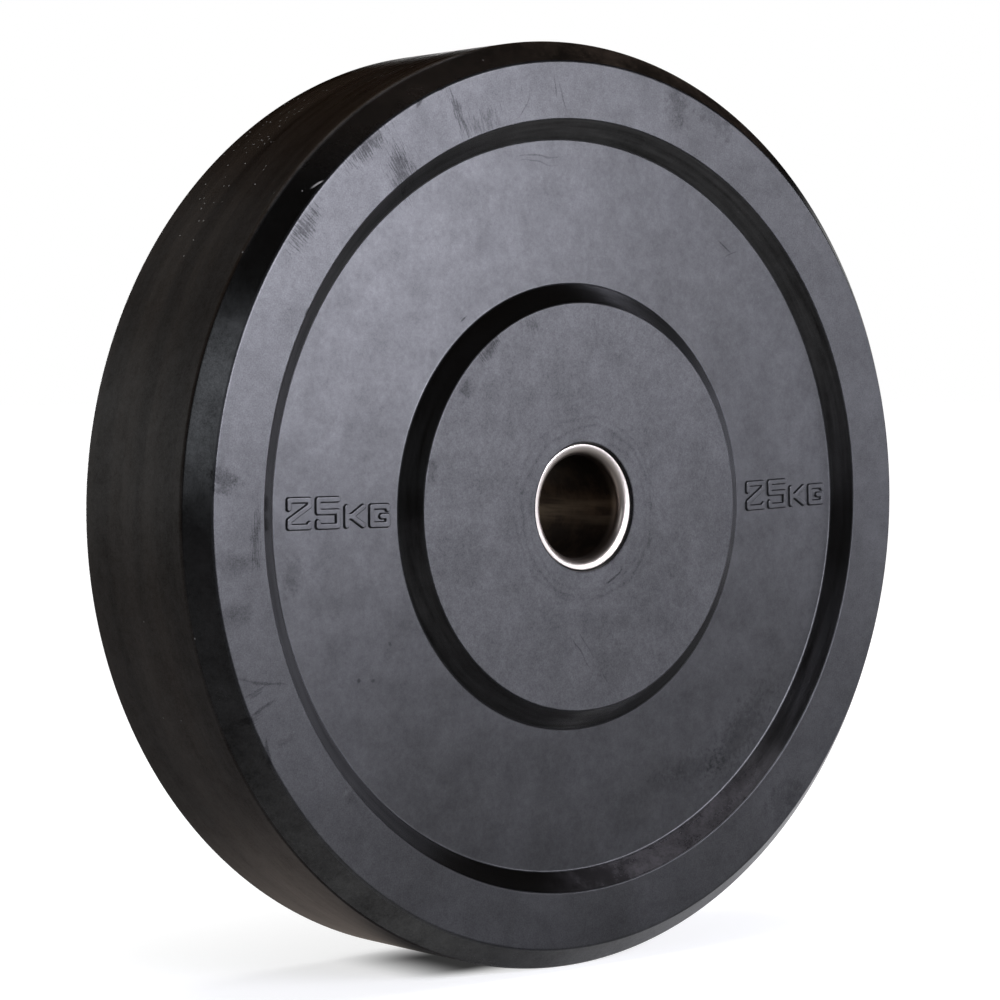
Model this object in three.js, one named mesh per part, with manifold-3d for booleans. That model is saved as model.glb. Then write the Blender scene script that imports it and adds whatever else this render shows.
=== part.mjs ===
// Bumper plate for a barbell with 50 mm sleeves: a compression moulded rubber disc on a steel hub insert.
// The insert is a sleeve with two perforated flanges welded on. The rubber grows through their holes as keys,
// so a drop on the rim cannot push the sleeve out of the disc.
// Millimetres, origin at the centre of the plate, +Y along the bore, front face towards -Y, +Z up.

import * as THREE from 'three';
import { mergeVertices } from 'three/addons/utils/BufferGeometryUtils.js';
import Module from 'manifold-3d';

const wasm = await Module();
wasm.setup();

// Rubber disc: the rim carries the tread, a chamfer and a flat face on each side
const plateDiameter = 450;
const rimThickness = 100;
const outerChamfer = 10.6;
const rimFaceWidth = 27;

// Recessed web between rim and hub, lightly conical: deeper at the rim than at the hub
const webDepthAtRim = 8;
const webDepthAtHub = 6;
const stepWallWidth = 10;

// Raised hub: it stands proud of the rim, so that plates on a bar meet hub to hub
const hubFaceDiameter = 197;
const hubRise = 2;
const hubMouthBevel = 1.6;

// Soft edges that the mould leaves on the rubber
const lipRound = 1.2;
const footFillet = 3;
const faceEdgeRound = 1.5;
const shoulderRound = 3;

// Steel hub sleeve: it takes the bar's sleeve and ends just below the hub faces
const sleeveBore = 50.4;
const sleeveWall = 5.4;
const sleeveInset = 1.6;
const boreLeadIn = 2.7;
const sleeveEdgeRound = 0.6;

// Anchor flanges: steel rings fillet welded to the sleeve on both sides, one near each end
const flangeDiameter = 120;
const flangeThickness = 4;
const flangeInset = 18;
const weldLeg = 3.5;
const anchorHoleCount = 8;
const anchorHoleShare = 0.55;

// Clearances between neighbours, and how far a cutter or a key runs past what it cuts or joins
const bondGap = 0.3;
const seatGap = 0.3;
const overrun = 1;

// Fineness of the round shapes
const plateFacets = 80;
const holeFacets = 16;
const edgeSteps = 2;
const leadInSteps = 4;

// Radii and half widths that follow from the sizes above
const plateRadius = plateDiameter / 2;
const rimHalf = rimThickness / 2;
const hubHalf = rimHalf + hubRise;
const rimOuterRadius = plateRadius - outerChamfer;
const rimInnerRadius = rimOuterRadius - rimFaceWidth;
const webOuterRadius = rimInnerRadius - stepWallWidth;
const hubRadius = hubFaceDiameter / 2;
const hubFootRadius = hubRadius + stepWallWidth;
const boreRadius = sleeveBore / 2;
const sleeveRadius = boreRadius + sleeveWall;
const sleeveHalf = hubHalf - sleeveInset;
const rubberBoreRadius = sleeveRadius + bondGap;
const flangeRadius = flangeDiameter / 2;
const flangeBoreRadius = sleeveRadius + seatGap;
const flangeOffset = sleeveHalf - flangeInset;
const weldToeRadius = flangeBoreRadius + weldLeg;
const anchorCircleRadius = (flangeRadius + weldToeRadius) / 2;
const anchorHoleRadius = anchorHoleShare * (flangeRadius - weldToeRadius) / 2;

const rubber = new THREE.MeshStandardMaterial({ color: 0x1b1c1f, roughness: 0.55, metalness: 0 });
const turnedSteel = new THREE.MeshStandardMaterial({ color: 0xcfc9c2, roughness: 0.28, metalness: 1 });
const plateSteel = new THREE.MeshStandardMaterial({ color: 0x7d7f80, roughness: 0.5, metalness: 0.9 });

// A corner of an outline: distance from the axis, place along the axis, and the radius that softens it.
function corner(radius, y, round = 0, steps = edgeSteps) {
  return { at: new THREE.Vector2(radius, y), round, steps };
}

// Turns a closed loop of corners into points, with an arc at each corner that has a round.
// An arc never takes more than half of the shorter side beside it.
function roundedOutline(corners) {
  const points = [];
  corners.forEach(({ at, round, steps }, index) => {
    const before = corners.at(index - 1).at.clone().sub(at);
    const after = corners[(index + 1) % corners.length].at.clone().sub(at);
    if (round === 0) {
      points.push(at.clone());
      return;
    }
    const shorterSide = Math.min(before.length(), after.length());
    before.normalize();
    after.normalize();
    const halfAngle = Math.acos(before.dot(after)) / 2;
    const reach = Math.min(round / Math.tan(halfAngle), shorterSide / 2);
    const arcRadius = reach * Math.tan(halfAngle);
    const toCentre = before.clone().add(after).setLength(arcRadius / Math.sin(halfAngle));
    const centre = at.clone().add(toCentre);
    const start = before.multiplyScalar(reach).add(at).sub(centre);
    const end = after.multiplyScalar(reach).add(at).sub(centre);
    const turn = Math.atan2(start.cross(end), start.dot(end));
    for (let step = 0; step <= steps; step += 1) {
      points.push(start.clone().rotateAround(new THREE.Vector2(), turn * step / steps).add(centre));
    }
  });
  points.push(points[0].clone());
  return points;
}

// Radius of the corners of a regular polygon whose flats lie on the true circle.
function acrossFlats(radius, facets) {
  return radius / Math.cos(Math.PI / facets);
}

// Revolves an outline about the bore. A flat, not a corner, faces straight down, so the plate can stand.
function revolve(corners) {
  const points = roundedOutline(corners).map(
    (point) => new THREE.Vector2(acrossFlats(point.x, plateFacets), point.y),
  );
  return new THREE.LatheGeometry(points, plateFacets, Math.PI / plateFacets, 2 * Math.PI);
}

function toSolid(geometry) {
  const shell = geometry.clone();
  shell.deleteAttribute('normal');
  shell.deleteAttribute('uv');
  const merged = mergeVertices(shell);
  return new wasm.Manifold(new wasm.Mesh({
    numProp: 3,
    vertProperties: merged.attributes.position.array,
    triVerts: new Uint32Array(merged.index.array),
  }));
}

function toGeometry(solid) {
  const { vertProperties, triVerts } = solid.getMesh();
  const geometry = new THREE.BufferGeometry();
  geometry.setAttribute('position', new THREE.BufferAttribute(vertProperties, 3));
  geometry.setIndex(new THREE.BufferAttribute(triVerts, 1));
  return geometry;
}

// Round bars parallel to the bore, one at each anchor hole of a flange whose middle lies at y.
function anchorBars(radius, halfLength, y) {
  const bars = [];
  for (let hole = 0; hole < anchorHoleCount; hole += 1) {
    const angle = 2 * Math.PI * hole / anchorHoleCount;
    const bar = new THREE.CylinderGeometry(
      acrossFlats(radius, holeFacets),
      acrossFlats(radius, holeFacets),
      2 * halfLength,
      holeFacets,
    );
    bar.translate(anchorCircleRadius * Math.sin(angle), y, anchorCircleRadius * Math.cos(angle));
    bars.push(toSolid(bar));
  }
  return bars;
}

// One face of the rubber disc, from the bore out to the tread. side is -1 at the front and 1 at the back.
function faceCorners(side) {
  const webHalfAtHub = rimHalf - webDepthAtHub;
  const webHalfAtRim = rimHalf - webDepthAtRim;
  return [
    corner(rubberBoreRadius, side * sleeveHalf),
    corner(rubberBoreRadius + hubMouthBevel, side * hubHalf),
    corner(hubRadius, side * hubHalf, lipRound),
    corner(hubFootRadius, side * webHalfAtHub, footFillet),
    corner(webOuterRadius, side * webHalfAtRim, footFillet),
    corner(rimInnerRadius, side * rimHalf, lipRound),
    corner(rimOuterRadius, side * rimHalf, faceEdgeRound),
    corner(plateRadius, side * (rimHalf - outerChamfer), shoulderRound),
  ];
}

// The groove that the rubber leaves for a flange and its two weld beads, one bond gap away from the steel.
function flangeGroove(y) {
  const halfWidth = flangeThickness / 2 + bondGap;
  const mouthHalfWidth = flangeThickness / 2 + weldLeg + bondGap * Math.SQRT2;
  const beadToeRadius = weldToeRadius + bondGap * (Math.SQRT2 - 1);
  return [
    corner(rubberBoreRadius, y + mouthHalfWidth),
    corner(beadToeRadius, y + halfWidth),
    corner(flangeRadius + bondGap, y + halfWidth),
    corner(flangeRadius + bondGap, y - halfWidth),
    corner(beadToeRadius, y - halfWidth),
    corner(rubberBoreRadius, y - mouthHalfWidth),
  ];
}

// Rubber disc: revolved body, then a key of rubber through every hole of both flanges.
function rubberDisc() {
  const body = toSolid(revolve([
    ...faceCorners(-1),
    ...faceCorners(1).reverse(),
    ...flangeGroove(flangeOffset),
    ...flangeGroove(-flangeOffset),
  ]));
  const keyHalfLength = flangeThickness / 2 + bondGap + overrun;
  const keys = [-flangeOffset, flangeOffset].flatMap(
    (y) => anchorBars(anchorHoleRadius - bondGap, keyHalfLength, y),
  );
  return toGeometry(keys.reduce((disc, key) => disc.add(key), body));
}

// Hub sleeve: a turned tube with a rounded lead-in at both mouths of the bore.
function hubSleeve() {
  return revolve([
    corner(sleeveRadius, -sleeveHalf, sleeveEdgeRound),
    corner(sleeveRadius, sleeveHalf, sleeveEdgeRound),
    corner(boreRadius, sleeveHalf, boreLeadIn, leadInSteps),
    corner(boreRadius, -sleeveHalf, boreLeadIn, leadInSteps),
  ]);
}

// Anchor flange: a flat ring with a weld bead on both sides of its bore, and holes for the rubber keys.
function anchorFlange() {
  const halfThickness = flangeThickness / 2;
  const ring = toSolid(revolve([
    corner(flangeBoreRadius, -halfThickness - weldLeg),
    corner(weldToeRadius, -halfThickness),
    corner(flangeRadius, -halfThickness),
    corner(flangeRadius, halfThickness),
    corner(weldToeRadius, halfThickness),
    corner(flangeBoreRadius, halfThickness + weldLeg),
  ]));
  const drills = anchorBars(anchorHoleRadius, halfThickness + overrun, 0);
  return toGeometry(drills.reduce((flange, drill) => flange.subtract(drill), ring));
}

function addPiece(parent, name, geometry, material, y = 0) {
  const piece = new THREE.Mesh(geometry, material);
  piece.name = name;
  piece.position.y = y;
  parent.add(piece);
}

const bumperPlate = new THREE.Group();
addPiece(bumperPlate, 'rubber_disc', rubberDisc(), rubber);

const hubInsert = new THREE.Group();
addPiece(hubInsert, 'hub_sleeve', hubSleeve(), turnedSteel);
addPiece(hubInsert, 'anchor_flange_front', anchorFlange(), plateSteel, -flangeOffset);
addPiece(hubInsert, 'anchor_flange_back', anchorFlange(), plateSteel, flangeOffset);
bumperPlate.add(hubInsert);

export default bumperPlate;
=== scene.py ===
"""Looks of a 25 kg bumper plate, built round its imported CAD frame.

A compression moulded rubber disc on a steel hub insert. Metres, origin at the centre of the plate,
+Y along the bore, front face towards -Y, +Z up as the plate stands on its tread.
"""

from __future__ import annotations

import logging
import math
from dataclasses import dataclass, field
from enum import Enum
from functools import reduce
from typing import Iterable, Sequence

import bpy
import numpy as np
from mathutils import Matrix, Vector, noise


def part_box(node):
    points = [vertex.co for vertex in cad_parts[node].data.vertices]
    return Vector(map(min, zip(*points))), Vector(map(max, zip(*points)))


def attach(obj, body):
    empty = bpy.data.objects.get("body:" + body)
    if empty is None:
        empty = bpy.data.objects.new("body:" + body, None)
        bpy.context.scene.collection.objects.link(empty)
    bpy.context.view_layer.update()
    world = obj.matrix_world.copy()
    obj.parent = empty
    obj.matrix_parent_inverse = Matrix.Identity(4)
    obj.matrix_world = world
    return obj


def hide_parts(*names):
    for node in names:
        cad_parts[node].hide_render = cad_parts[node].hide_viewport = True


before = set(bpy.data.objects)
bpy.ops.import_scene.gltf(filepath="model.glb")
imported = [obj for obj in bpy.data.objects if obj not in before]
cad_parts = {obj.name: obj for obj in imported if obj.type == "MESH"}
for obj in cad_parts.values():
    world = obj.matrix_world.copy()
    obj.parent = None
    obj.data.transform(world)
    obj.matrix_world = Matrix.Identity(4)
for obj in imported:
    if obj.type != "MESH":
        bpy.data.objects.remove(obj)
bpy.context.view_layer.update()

LOG = logging.getLogger("bumper_plate")
BODY = "root"
MILLIMETRE = 0.001
WHITE = (1.0, 1.0, 1.0)
BLACK = (0.0, 0.0, 0.0)

Socket = bpy.types.NodeSocket
Number = float | Socket
Triple = tuple[float, float, float]
Colour = Triple
Range = tuple[float, ...]
Feeds = dict[str | int, object]
Array = np.ndarray
Mesh = tuple[Array, Array]


class Slot(Enum):
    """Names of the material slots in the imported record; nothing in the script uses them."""

    RUBBER = "moulded_rubber"
    TURNED_STEEL = "turned_steel"


class Side(Enum):
    """The two faces of the plate, by the sign of Y."""

    FRONT = -1
    BACK = 1


# Outlines and revolved meshes


@dataclass(frozen=True)
class Corner:
    """A corner of an outline that is revolved about the bore.

    Args:
        radius: Distance from the axis.
        y: Place along the axis.
        round: Radius of the arc that softens the corner.
        steps: Facets of that arc.
        share: How much of the shorter side beside it the arc may take.
    """

    radius: float
    y: float
    round: float = 0.0
    steps: int = 6
    share: float = 0.5


def arc_at(corner: Corner, before: Corner, after: Corner) -> list[Vector]:
    """Points of the arc that softens a corner, or the corner itself.

    Args:
        corner: The corner to soften.
        before: The corner that comes before it on the outline.
        after: The corner that comes after it.

    Returns:
        Points in (radius, y), in the outline's order.
    """
    at = Vector((corner.radius, corner.y))
    if corner.round == 0.0:
        return [at]
    back = Vector((before.radius, before.y)) - at
    ahead = Vector((after.radius, after.y)) - at
    shorter_side = min(back.length, ahead.length)
    back.normalize()
    ahead.normalize()
    half_angle = back.angle(ahead) / 2
    reach = min(corner.round / math.tan(half_angle), shorter_side * corner.share)
    centre = at + (back + ahead).normalized() * reach / math.cos(half_angle)
    start = at + back * reach - centre
    end = at + ahead * reach - centre
    turn = math.atan2(start.x * end.y - start.y * end.x, start.dot(end))
    points = []
    for step in range(corner.steps + 1):
        angle = turn * step / corner.steps
        turned = Vector((
            start.x * math.cos(angle) - start.y * math.sin(angle),
            start.x * math.sin(angle) + start.y * math.cos(angle),
        ))
        points.append(centre + turned)
    return points


def divide(start: Vector, end: Vector, longest: float, margin: float) -> list[Vector]:
    """Inner points of a straight stretch: one close to each end, the others evenly spaced.

    Args:
        start: First point of the stretch.
        end: Last point of the stretch.
        longest: The largest distance between two neighbours.
        margin: Distance of the first and last inner point from the ends.

    Returns:
        The points between start and end, which are left out.
    """
    length = (end - start).length
    inner = length - 2 * margin
    if inner < margin:
        return []
    parts = max(1, math.ceil(inner / longest))
    places = [margin + inner * part / parts for part in range(parts + 1)]
    return [start.lerp(end, place / length) for place in places]


def closed_outline(corners: Sequence[Corner], longest: float, margin: float) -> list[Vector]:
    """A closed loop of points through a list of corners, with its straight stretches divided.

    Args:
        corners: The corners in order.
        longest: The largest distance between two points of a straight stretch.
        margin: Distance of the rings that hold a flat beside its soft edges.

    Returns:
        Points in (radius, y).
    """
    count = len(corners)
    arcs = [arc_at(corners[place], corners[place - 1], corners[(place + 1) % count]) for place in range(count)]
    points = []
    for arc, after in zip(arcs, arcs[1:] + arcs[:1]):
        points += arc + divide(arc[-1], after[0], longest, margin)
    return points


def revolve(outline: Sequence[Vector], segments: int) -> Mesh:
    """Revolves a closed outline about the bore.

    Args:
        outline: Points in (radius, y), running so that the faces look outwards.
        segments: Steps of the full turn.

    Returns:
        Vertices, and quads as rows of four vertex numbers.
    """
    angles = np.arange(segments) * (2 * math.pi / segments)
    radii = np.array([point.x for point in outline])
    heights = np.array([point.y for point in outline])
    x = np.outer(np.cos(angles), radii)
    z = np.outer(np.sin(angles), radii)
    y = np.tile(heights, (segments, 1))
    vertices = np.stack([x, y, z], axis=-1).reshape(-1, 3)
    rings = len(outline)
    turn, ring = np.meshgrid(np.arange(segments), np.arange(rings), indexing="ij")
    next_turn = (turn + 1) % segments
    next_ring = (ring + 1) % rings
    quads = np.stack([
        turn * rings + ring,
        turn * rings + next_ring,
        next_turn * rings + next_ring,
        next_turn * rings + ring,
    ], axis=-1)
    return vertices, quads.reshape(-1, 4)


def make_piece(name: str, vertices: Array, faces: Array) -> bpy.types.Object:
    """Makes a smooth shaded mesh object in the row frame, with its faces looking outwards.

    Args:
        name: Name of the piece.
        vertices: One row of x, y and z per vertex.
        faces: One row of vertex numbers per face.

    Returns:
        The new object, linked to the scene.
    """
    mesh = bpy.data.meshes.new(name)
    mesh.from_pydata(vertices.tolist(), [], faces.tolist())
    mesh.update()
    if signed_volume(mesh) < 0:
        mesh.flip_normals()
    mesh.shade_smooth()
    piece = bpy.data.objects.new(name, mesh)
    bpy.context.scene.collection.objects.link(piece)
    return piece


def signed_volume(mesh: bpy.types.Mesh) -> float:
    """Volume inside a closed mesh, negative where its faces look inwards.

    Args:
        mesh: A closed mesh.

    Returns:
        The volume in cubic metres.
    """
    mesh.calc_loop_triangles()
    corners = np.zeros(len(mesh.vertices) * 3)
    mesh.vertices.foreach_get("co", corners)
    corners = corners.reshape(-1, 3)
    triangles = np.zeros(len(mesh.loop_triangles) * 3, dtype=np.int64)
    mesh.loop_triangles.foreach_get("vertices", triangles)
    a, b, c = (corners[triangles[place::3]] for place in range(3))
    return float((np.cross(a, b) * c).sum() / 6)


# Shader graphs


class Graph:
    """Adds shader nodes to a material or world, and links them."""

    def __init__(self, owner: bpy.types.Material | bpy.types.World) -> None:
        """Starts an empty node tree.

        Args:
            owner: The material or world.
        """
        owner.use_nodes = True
        self.tree = owner.node_tree
        self.tree.nodes.clear()

    def node(self, kind: str, feeds: Feeds | None = None, **settings: object) -> bpy.types.Node:
        """Adds a node.

        Args:
            kind: Blender's name of the node type, after the word ShaderNode.
            feeds: Values or sockets for its inputs, by name or number.
            **settings: Properties of the node.

        Returns:
            The new node.
        """
        made = self.tree.nodes.new("ShaderNode" + kind)
        for name, value in settings.items():
            setattr(made, name, value)
        for key, value in (feeds or {}).items():
            if isinstance(value, Socket):
                self.tree.links.new(value, made.inputs[key])
            else:
                made.inputs[key].default_value = value
        return made

    def math(self, operation: str, *values: Number, clamp: bool = False) -> Socket:
        """Result of a Math node, which a clamp keeps between 0 and 1."""
        return self.node("Math", dict(enumerate(values)), operation=operation, use_clamp=clamp).outputs[0]

    def total(self, *values: Number) -> Number:
        """Sum of several values."""
        return reduce(lambda first, second: self.math("ADD", first, second), values)

    def product(self, *values: Number) -> Number:
        """Product of several values."""
        return reduce(lambda first, second: self.math("MULTIPLY", first, second), values)

    def minus(self, value: Number) -> Socket:
        """1 less a value."""
        return self.math("SUBTRACT", 1.0, value)

    def vectors(self, operation: str, *values: object) -> Sequence[Socket]:
        """Outputs of a Vector Math node."""
        return self.node("VectorMath", dict(enumerate(values)), operation=operation).outputs

    def length(self, vector: Socket) -> Socket:
        """Length of a vector."""
        return self.vectors("LENGTH", vector)["Value"]

    def point(self) -> Socket:
        """Where a point is, in metres from the middle of the plate."""
        return self.node("TexCoord").outputs["Object"]

    def split(self, vector: Socket) -> Sequence[Socket]:
        """The three values of a vector."""
        return self.node("SeparateXYZ", {0: vector}).outputs

    def combine(self, x: Number, y: Number, z: Number) -> Socket:
        """A vector of three values."""
        return self.node("CombineXYZ", {0: x, 1: y, 2: z}).outputs[0]

    def stretch(self, vector: Socket, sizes: Triple) -> Socket:
        """A vector in units of a size along each axis."""
        return self.node("Mapping", {"Vector": vector, "Scale": sizes}, vector_type="TEXTURE").outputs[0]

    def fade(self, value: Number, start: float, end: float, low: float = 0.0, high: float = 1.0) -> Socket:
        """Smooth change from a low to a high level, while a value goes from start to end."""
        feeds = {"Value": value, "From Min": start, "From Max": end, "To Min": low, "To Max": high}
        return self.node("MapRange", feeds, interpolation_type="SMOOTHSTEP", clamp=True).outputs["Result"]

    def drop(self, value: Number, start: float, end: float) -> Socket:
        """Smooth change from 1 to 0, while a value goes from start to end."""
        return self.fade(value, start, end, 1.0, 0.0)

    def window(self, value: Number, start: float, end: float, soft: float) -> Socket:
        """1 between start and end and 0 outside them, with soft flanks that are centred on them."""
        rise = self.fade(value, start - soft, start + soft)
        return self.product(rise, self.drop(value, end - soft, end + soft))

    def noise(self, vector: Socket, scale: float, detail: float, roughness: float, curl: float = 0.0) -> Socket:
        """Cloudy noise about 0.5: features per unit, octaves, share of the finer ones, and curl."""
        feeds = {"Vector": vector, "Scale": scale, "Detail": detail, "Roughness": roughness, "Distortion": curl}
        return self.node("TexNoise", feeds).outputs[0]

    def centred(self, value: Socket) -> Socket:
        """A noise about 0.5, moved so that it lies about 0."""
        return self.math("SUBTRACT", value, 0.5)

    def blend(self, share: Number, first: Colour | Socket, second: Colour | Socket) -> Socket:
        """The first colour where the share is 0, and the second where it is 1."""
        feeds = {0: share, 6: opaque(first), 7: opaque(second)}
        return self.node("Mix", feeds, data_type="RGBA").outputs[2]

    def level(self, share: Number, first: Number, second: Number) -> Socket:
        """The first value where the share is 0, and the second where it is 1."""
        return self.node("Mix", {0: share, 2: first, 3: second}, data_type="FLOAT").outputs[0]

    def rays(self) -> tuple[Socket, Socket]:
        """1 for rays from the camera, and 1 for rays that something mirrors or lets through.

        Returns:
            The two values.
        """
        path = self.node("LightPath").outputs
        mirrored = self.math("ADD", path["Is Glossy Ray"], path["Is Transmission Ray"], clamp=True)
        return path["Is Camera Ray"], mirrored

    def emission(self, colour: Colour | Socket, strength: Number) -> bpy.types.Node:
        """A shader that glows."""
        return self.node("Emission", {"Color": opaque(colour), "Strength": strength})

    def surface(self, height: Socket, feeds: Feeds) -> None:
        """Shows a Principled shader over fine relief, whose height is in metres."""
        bump = self.node("Bump", {"Height": height, "Distance": 1.0, "Strength": 1.0})
        self.show(self.node("BsdfPrincipled", {"Normal": bump.outputs["Normal"], **feeds}))

    def show(self, shader: bpy.types.Node, output: str = "OutputMaterial") -> None:
        """Sends a shader to the output."""
        self.node(output, {"Surface": shader.outputs[0]})


def opaque(colour: Colour | Socket) -> tuple[float, ...] | Socket:
    """A colour with full alpha, or the socket as it is."""
    return (*colour, 1.0) if isinstance(colour, tuple) else colour


# Finishes


class Grain(Enum):
    """How the scratches of a mark run: towards the bore, round it, or in no direction."""

    RADIAL = "radial"
    ROUND = "round"
    CLOUDY = "cloudy"


@dataclass(frozen=True)
class Scuff:
    """A patch of scratches, a smudge or a single stroke on the front face. Lengths are in millimetres.

    Args:
        x: Place of its middle to the right of the axis.
        z: Place of its middle above the axis.
        turn: Direction of its length in degrees from +X towards +Z.
        length: Its length.
        width: Its width.
        strength: How much it changes the shine.
        ragged: How far its edge follows the scratches.
        grain: How its scratches run.
    """

    x: float
    z: float
    turn: float
    length: float
    width: float
    strength: float
    ragged: float = 1.6
    grain: Grain = Grain.CLOUDY

    def mask(self, plate: PlateGraph) -> Socket:
        """Where the mark is.

        Args:
            plate: Graph of the plate's material.

        Returns:
            Its strength on the mark and 0 elsewhere.
        """
        local = plate.node("Mapping", {
            "Vector": plate.bent_face,
            "Location": (self.x * MILLIMETRE, self.z * MILLIMETRE, 0.0),
            "Rotation": (0.0, 0.0, math.radians(self.turn)),
            "Scale": (self.length * MILLIMETRE / 2, self.width * MILLIMETRE / 2, 1.0),
        }, vector_type="TEXTURE").outputs[0]
        edge = plate.math("MULTIPLY_ADD", plate.grains[self.grain], self.ragged, plate.length(local))
        return plate.fade(edge, *plate.mark_edge, self.strength, 0.0)


@dataclass(frozen=True)
class RubRing:
    """A faint ring that something round has rubbed on the front face. Lengths are in millimetres.

    Args:
        x: Place of its centre to the right of the axis.
        z: Place of its centre above the axis.
        radius: Radius of the ring.
        width: Width of the ring.
        strength: How much of the shine it takes away.
        faint_share: Share of the strength where it was rubbed least.
    """

    x: float
    z: float
    radius: float
    width: float
    strength: float
    faint_share: float = 0.3

    def mask(self, plate: PlateGraph) -> Socket:
        """Where the ring is.

        Args:
            plate: Graph of the plate's material.

        Returns:
            Its strength on the ring, less where it was rubbed less, and 0 elsewhere.
        """
        centre = (self.x * MILLIMETRE, self.z * MILLIMETRE, 0.0)
        away = plate.vectors("DISTANCE", plate.bent_face, centre)["Value"]
        radius, soft = self.radius * MILLIMETRE, self.width * MILLIMETRE / 2
        cloudy, faint = plate.grains[Grain.CLOUDY], self.faint_share * self.strength
        patchy = plate.fade(cloudy, *plate.rub_patches, self.strength, faint)
        return plate.product(plate.window(away, radius - soft, radius + soft, soft), patchy)


class PlateGraph(Graph):
    """Graph of a material on the plate, with values that say where a point is.

    Pairs of lengths are the places, in metres, between which a zone fades in or out.
    """

    front_half = (-0.035, -0.030)
    mouth_shade = (0.0002, 0.0010)
    top_height = (0.170, 0.212)
    high_height = (0.140, 0.205)
    high_side = (-0.060, 0.050, 0.35, 1.0)
    ledge_height = (-0.115, -0.160)
    ledge_side = (-0.030, 0.030)
    top_left_height = (0.06, 0.13)
    top_left_start = (-0.200, -0.170)
    top_left_end = (-0.075, -0.045)
    tread_edge = (-0.0006, 0.0010)
    tread_skin = 0.002
    shoulder_line = (-0.0004, 0.0009, 0.0006)
    soft_share = 0.7
    bend_noise = (55.0, 1.0)
    bend_reach = (0.007, 0.007, 0.0)
    mark_edge = (0.25, 0.95)
    rub_patches = (-0.12, 0.10)
    cloudy_noise = (330.0, 3.0, 0.7)
    scratch_noise = (1.0, 2.0, 0.6)
    scratch_counts = {Grain.RADIAL: (300.0, 140.0), Grain.ROUND: (22.0, 1400.0)}

    def __init__(self, owner: bpy.types.Material, shape: RubberShape) -> None:
        """Adds the nodes.

        Args:
            owner: The material.
            shape: Sizes of the disc, which place the zones.
        """
        super().__init__(owner)
        self.place = self.point()
        x, y, z = self.split(self.place)
        self.face = self.combine(x, z, 0.0)
        self.radius = self.length(self.face)
        along, across = self.math("DIVIDE", x, self.radius), self.math("DIVIDE", z, self.radius)
        self.around = self.combine(along, y, across)
        self.on_front = self.drop(y, *self.front_half)
        self.on_top = self.fade(z, *self.top_height)
        self.high_up = self.product(self.fade(z, *self.high_height), self.fade(x, *self.high_side))
        from_left, to_right = self.fade(x, *self.top_left_start), self.drop(x, *self.top_left_end)
        self.top_left = self.product(from_left, to_right, self.fade(z, *self.top_left_height))
        ledge = self.product(self.fade(z, *self.ledge_height), self.fade(x, *self.ledge_side))
        self.add_zones(shape, self.math("ABSOLUTE", y), ledge)
        self.add_scratches()

    def add_zones(self, shape: RubberShape, off_middle: Socket, ledge: Socket) -> None:
        """Adds the zones of the moulding: hub, walls, rim, chamfer, shoulder and tread.

        Args:
            shape: Sizes of the disc.
            off_middle: Distance from the middle plane.
            ledge: Where dust settles on a wall.
        """
        soft = shape.lip_round * self.soft_share
        lip, foot = shape.hub_radius + soft, shape.hub_foot_radius - soft
        rim_start, rim_end = shape.rim_inner_radius, shape.rim_outer_radius
        mouth = shape.bore_radius + shape.hub_mouth_bevel
        self.at_mouth = self.drop(self.radius, *(mouth + reach for reach in self.mouth_shade))
        self.on_hub = self.drop(self.radius, lip - soft, lip)
        step_wall = self.window(self.radius, shape.web_outer_radius + soft, rim_start - soft, soft)
        self.on_wall = self.math("MAXIMUM", self.window(self.radius, lip, foot, soft), step_wall)
        self.on_ledge = self.product(step_wall, ledge)
        self.on_rim = self.fade(self.radius, rim_start - soft, rim_start + soft)
        self.on_chamfer = self.fade(self.radius, rim_end + soft, rim_end + 2 * soft)
        outside = self.fade(self.radius, rim_end, shape.plate_radius - self.tread_skin)
        between = self.drop(off_middle, *(shape.shoulder_half + reach for reach in self.tread_edge))
        self.on_tread = self.product(between, outside)
        start, end, flank = self.shoulder_line
        line = self.window(off_middle, shape.shoulder_half + start, shape.shoulder_half + end, flank)
        self.on_shoulder = self.product(line, outside)

    def add_scratches(self) -> None:
        """Adds the noises that the marks share, and the face bent a little by one of them."""
        scale, detail = self.bend_noise
        feeds = {"Vector": self.place, "Scale": scale, "Detail": detail}
        bend = self.vectors("SUBTRACT", self.node("TexNoise", feeds).outputs["Color"], (0.5, 0.5, 0.5))[0]
        self.bent_face = self.vectors("MULTIPLY_ADD", bend, self.bend_reach, self.face)[0]
        self.grains = {Grain.CLOUDY: self.centred(self.noise(self.place, *self.cloudy_noise))}
        x, _, z = self.split(self.around)
        for grain, (turns, outwards) in self.scratch_counts.items():
            sides = (self.product(x, turns), self.product(z, turns), self.product(self.radius, outwards))
            self.grains[grain] = self.centred(self.noise(self.combine(*sides), *self.scratch_noise))


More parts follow.
